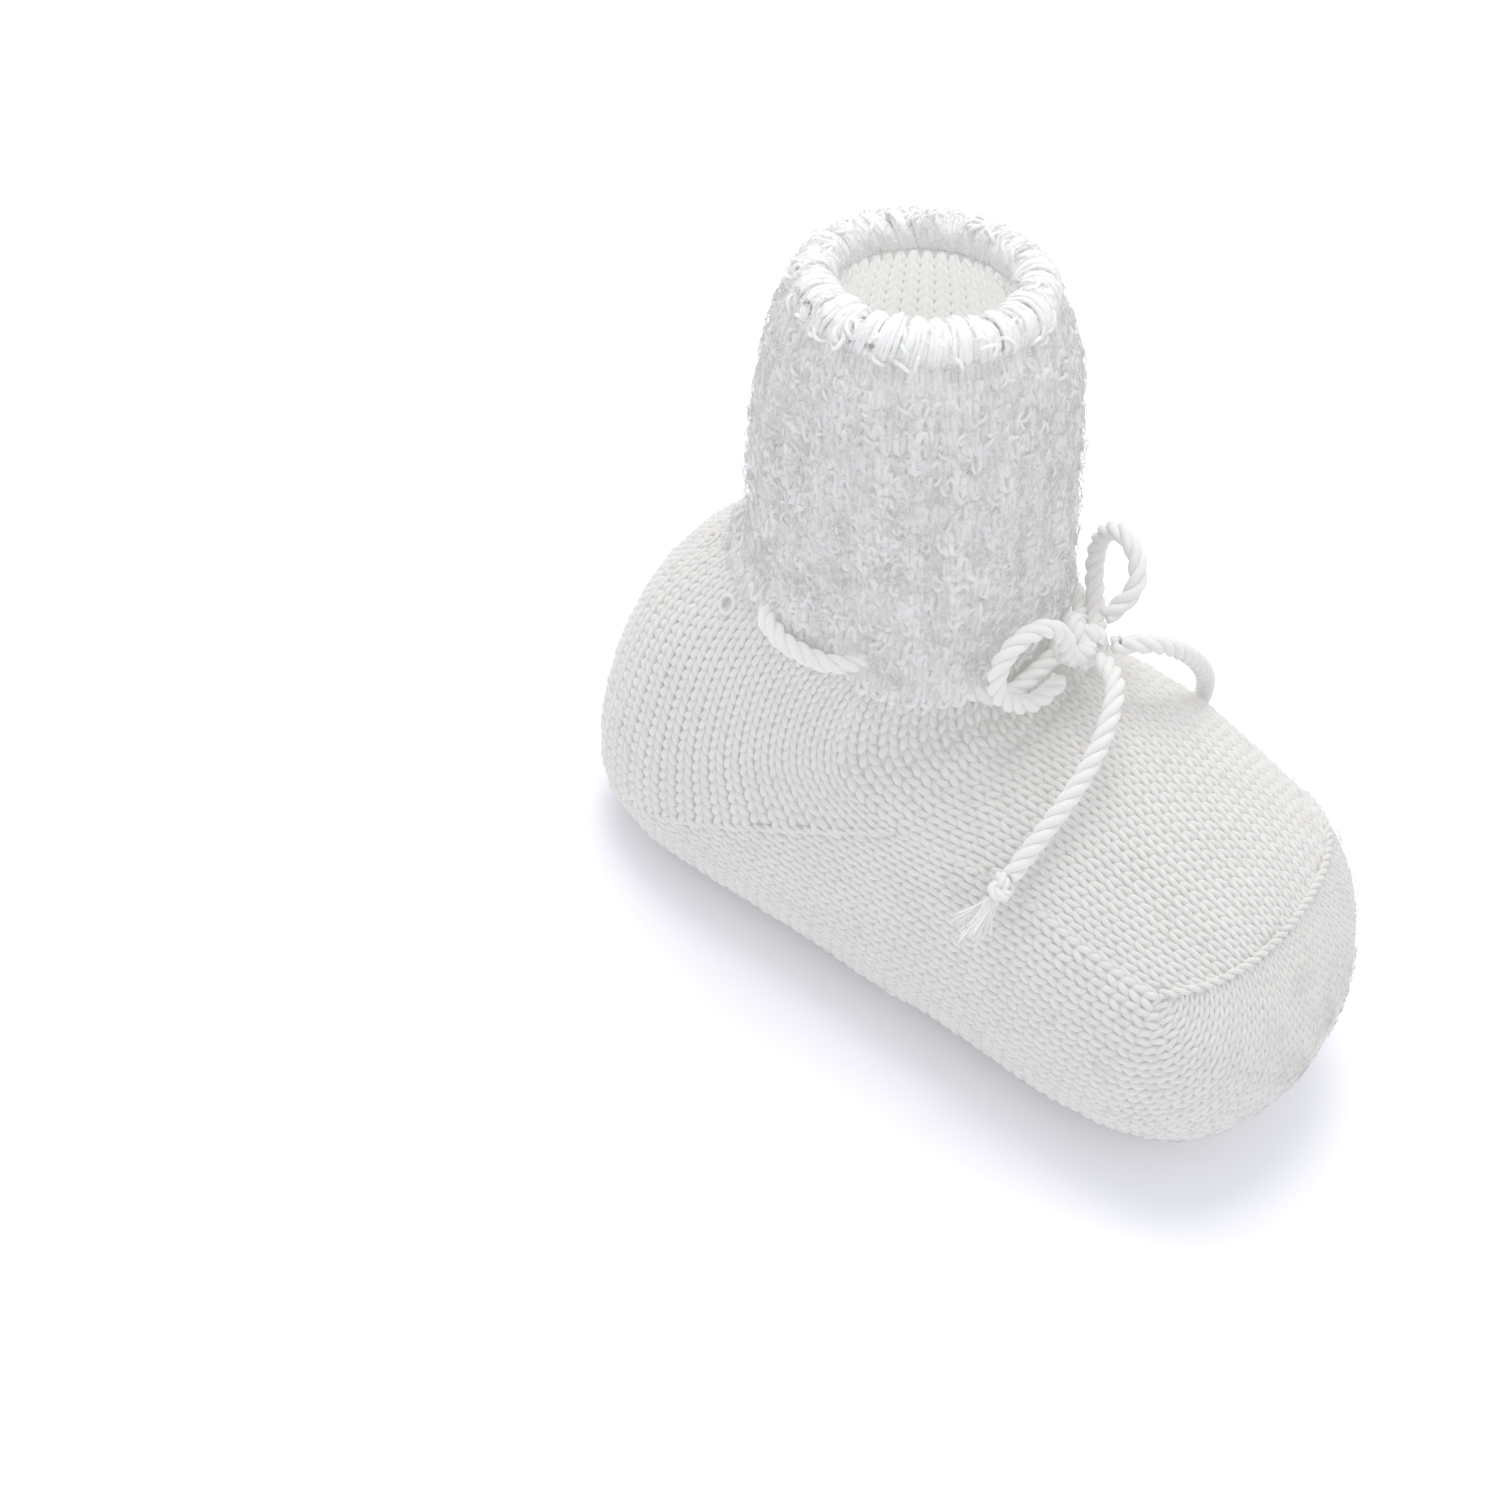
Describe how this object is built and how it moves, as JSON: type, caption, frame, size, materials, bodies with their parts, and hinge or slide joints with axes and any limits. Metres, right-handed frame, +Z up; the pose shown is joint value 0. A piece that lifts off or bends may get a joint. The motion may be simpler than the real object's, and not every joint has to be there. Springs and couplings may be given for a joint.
{
  "type": "baby bootie",
  "caption": "Soft knitted newborn bootie with a short-row heel and toe, a ribbed cuff and a drawcord tied in a bow at the ankle.",
  "frame": {"origin": "on the ground under the middle of the foot, without the free ends of the drawcord", "axes": "+X points to the toe, +Y to the wearer's left, +Z up"},
  "size_m": [0.101, 0.0616, 0.0939],
  "materials": {
    "foot_knit": "fine stockinette knit in off-white cotton yarn",
    "cuff_knit": "ribbed knit worn with its fuzzy reverse side out",
    "seam_knit": "linked seam and short-row lines in the same yarn",
    "cord_yarn": "twisted cord of soft white yarn"
  },
  "bodies": {
    "foot": {"ankle_panel": "foot_knit", "bow_knot": "cord_yarn", "drawcord_run": "cord_yarn", "eyelet_band": "foot_knit", "heel_back": "foot_knit", "heel_gore_left": "seam_knit", "heel_gore_right": "seam_knit", "heel_under": "foot_knit", "instep_panel": "foot_knit", "sole_panel": "foot_knit", "toe_gore_left": "seam_knit", "toe_gore_right": "seam_knit", "toe_seam": "seam_knit", "toe_top": "foot_knit", "toe_under": "foot_knit"},
    "cuff": {"cuff_tube": "cuff_knit", "cuff_back_seam": "cuff_knit", "cuff_edging": "cuff_knit"},
    "loop_right": {"bow_loop_right": "cord_yarn"},
    "loop_left": {"bow_loop_left": "cord_yarn"},
    "tail_right": {"cord_tail_right": "cord_yarn", "tail_knot_right": "cord_yarn", "tassel_right": "cord_yarn"},
    "tail_left": {"cord_tail_left": "cord_yarn", "tail_knot_left": "cord_yarn", "tassel_left": "cord_yarn"}
  },
  "joints": [
    {"name": "cuff_flex", "type": "hinge", "parent": "foot", "child": "cuff", "pos_m": [-0.01969, 0, 0.05686], "axis": [0, 1, 0], "range_deg": [-10, 10], "stiffness_Nm_per_rad": 0.01},
    {"name": "loop_right_flop", "type": "hinge", "parent": "foot", "child": "loop_right", "pos_m": [0.00475, -0.0051, 0.05365], "axis": [0, 1, 0], "range_deg": [0, 20]},
    {"name": "loop_left_flop", "type": "hinge", "parent": "foot", "child": "loop_left", "pos_m": [0.0048, 0.0051, 0.0537], "axis": [0, 1, 0], "range_deg": [0, 20]},
    {"name": "tail_right_lift", "type": "hinge", "parent": "foot", "child": "tail_right", "pos_m": [0.0077, -0.0017, 0.0546], "axis": [-1, 0, 0], "range_deg": [0, 35]},
    {"name": "tail_left_lift", "type": "hinge", "parent": "foot", "child": "tail_left", "pos_m": [0.0077, 0.0017, 0.0546], "axis": [1, 0, 0], "range_deg": [0, 35]}
  ]
}
